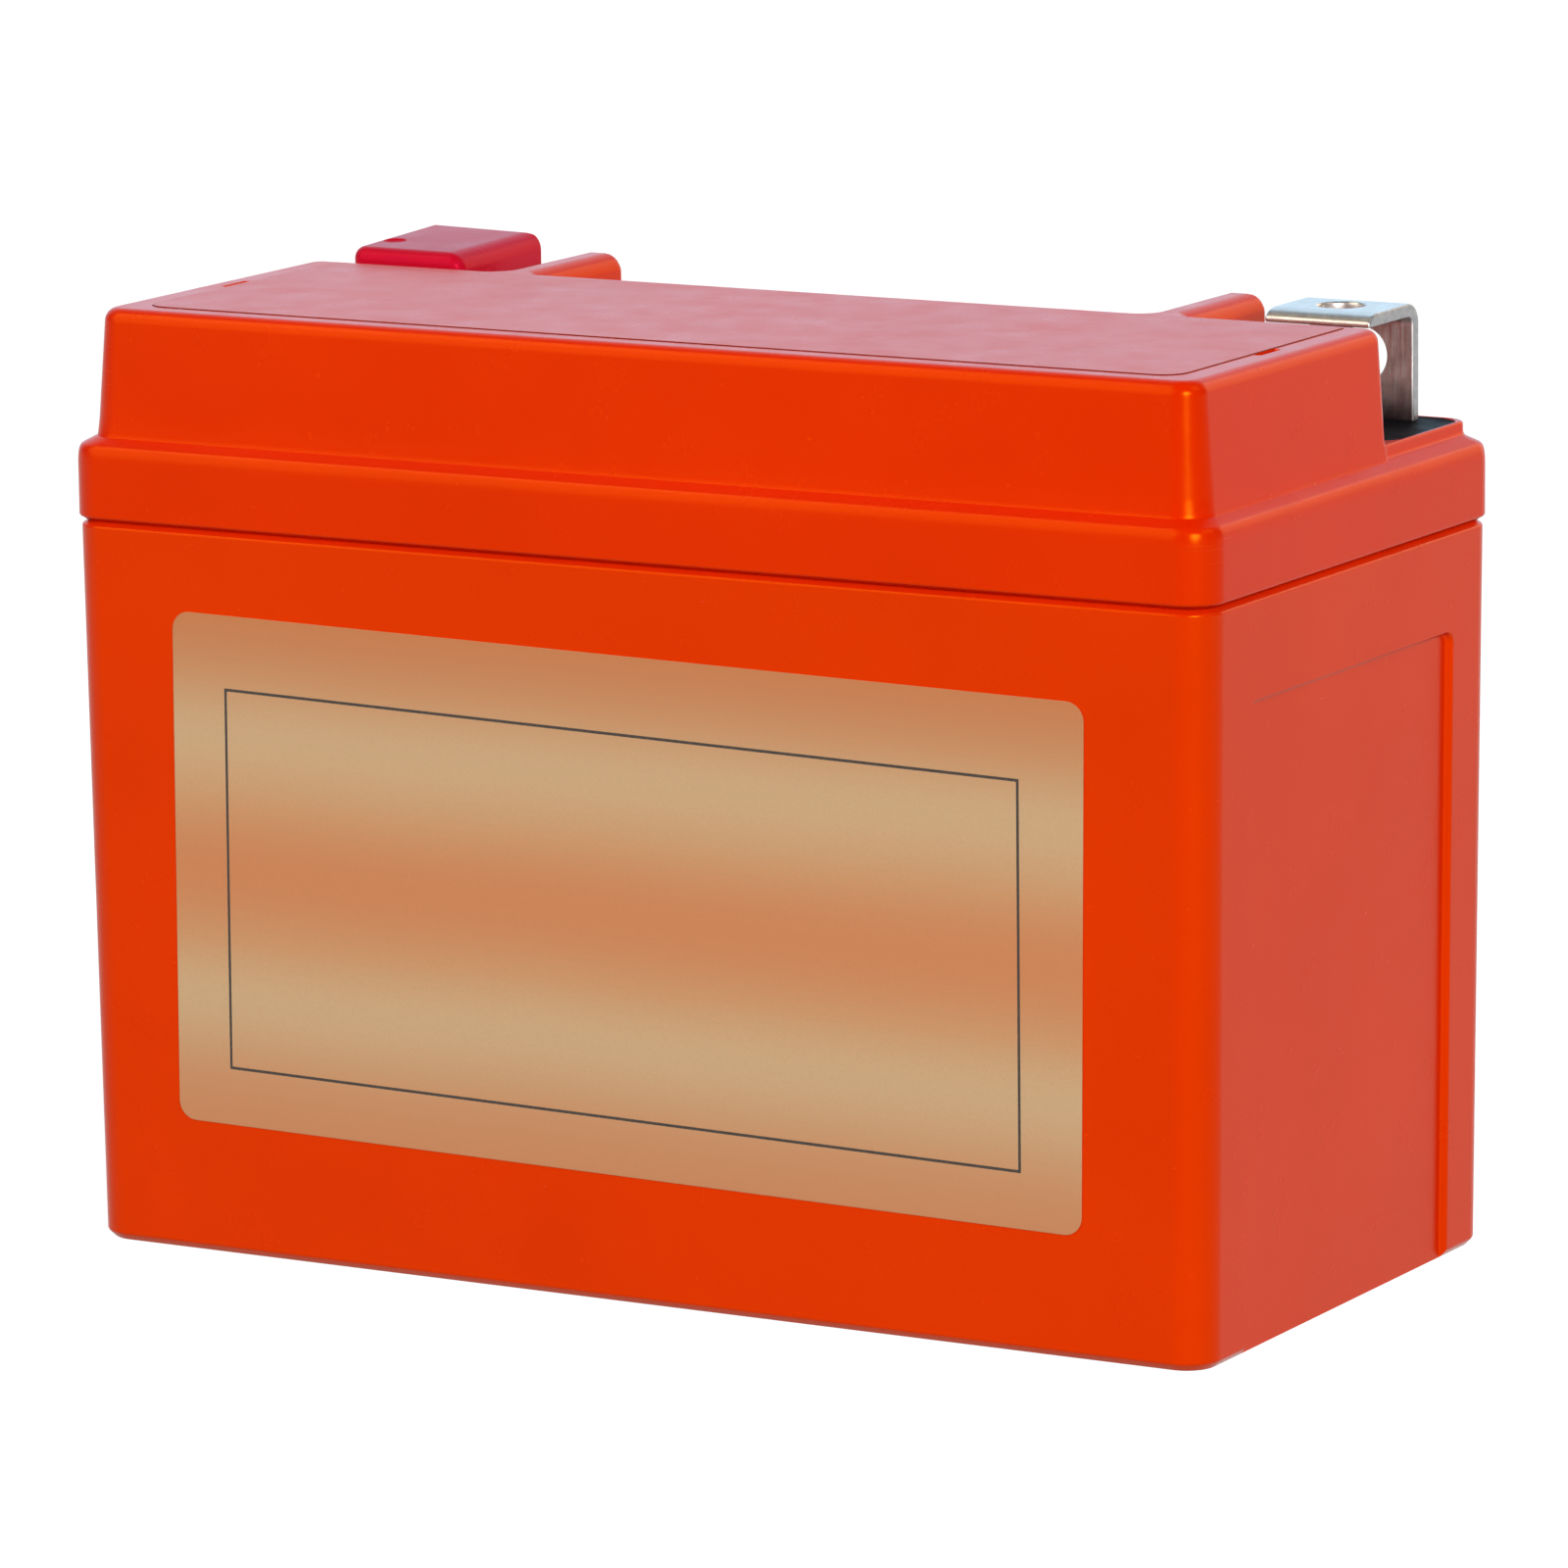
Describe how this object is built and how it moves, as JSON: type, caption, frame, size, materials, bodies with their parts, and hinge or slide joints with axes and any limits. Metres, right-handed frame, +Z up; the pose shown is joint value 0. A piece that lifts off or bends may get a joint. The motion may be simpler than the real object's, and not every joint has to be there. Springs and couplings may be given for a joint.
{
  "type": "motorcycle battery",
  "caption": "Sealed motorcycle battery: drafted box with a raised lid, inlaid top plate, bolt-on terminals at the rear corners and a slip-on cap over the positive one.",
  "frame": {"origin": "middle of the underside of the box", "axes": "+X along the long side towards the negative terminal, +Y to the terminal side, +Z up"},
  "size_m": [0.175, 0.087, 0.1323],
  "materials": {
    "case_plastic": "glossy moulded orange plastic",
    "label_foil": "bronze metallised film, satin",
    "terminal_metal": "tin-plated sheet, bright",
    "cap_plastic": "soft red moulding",
    "potting_black": "cast resin, glossy",
    "potting_red": "cast resin, glossy",
    "seal_rubber": "matt",
    "lead": "cast lead, dull",
    "positive_paste": "pasted plate, matt brown",
    "negative_paste": "pasted plate, matt grey",
    "glass_mat": "absorbent glass mat"
  },
  "bodies": {
    "battery": {"container": "case_plastic", "lid": "case_plastic", "top_plate": "case_plastic", "label": "label_foil", "negative_terminal": "terminal_metal", "positive_terminal": "terminal_metal", "negative_potting": "potting_black", "positive_potting": "potting_red", "cell_1_positive_plates": "positive_paste", "cell_1_negative_plates": "negative_paste", "cell_1_separators": "glass_mat", "cell_2_positive_plates": "positive_paste", "cell_2_negative_plates": "negative_paste", "cell_2_separators": "glass_mat", "cell_3_positive_plates": "positive_paste", "cell_3_negative_plates": "negative_paste", "cell_3_separators": "glass_mat", "cell_4_positive_plates": "positive_paste", "cell_4_negative_plates": "negative_paste", "cell_4_separators": "glass_mat", "cell_5_positive_plates": "positive_paste", "cell_5_negative_plates": "negative_paste", "cell_5_separators": "glass_mat", "cell_6_positive_plates": "positive_paste", "cell_6_negative_plates": "negative_paste", "cell_6_separators": "glass_mat", "intercell_link_1": "lead", "intercell_link_2": "lead", "intercell_link_3": "lead", "intercell_link_4": "lead", "intercell_link_5": "lead", "valve_cap_1": "seal_rubber", "valve_cap_2": "seal_rubber", "valve_cap_3": "seal_rubber", "valve_cap_4": "seal_rubber", "valve_cap_5": "seal_rubber", "valve_cap_6": "seal_rubber", "negative_end_strap": "lead", "positive_end_strap": "lead", "negative_post_ring": "seal_rubber", "positive_post_ring": "seal_rubber"},
    "cap": {"positive_cap": "cap_plastic"}
  },
  "joints": [
    {"name": "positive_cap_lift", "type": "slide", "parent": "battery", "child": "cap", "axis": [0, 0, 1], "range_m": [0, 0.03]}
  ]
}
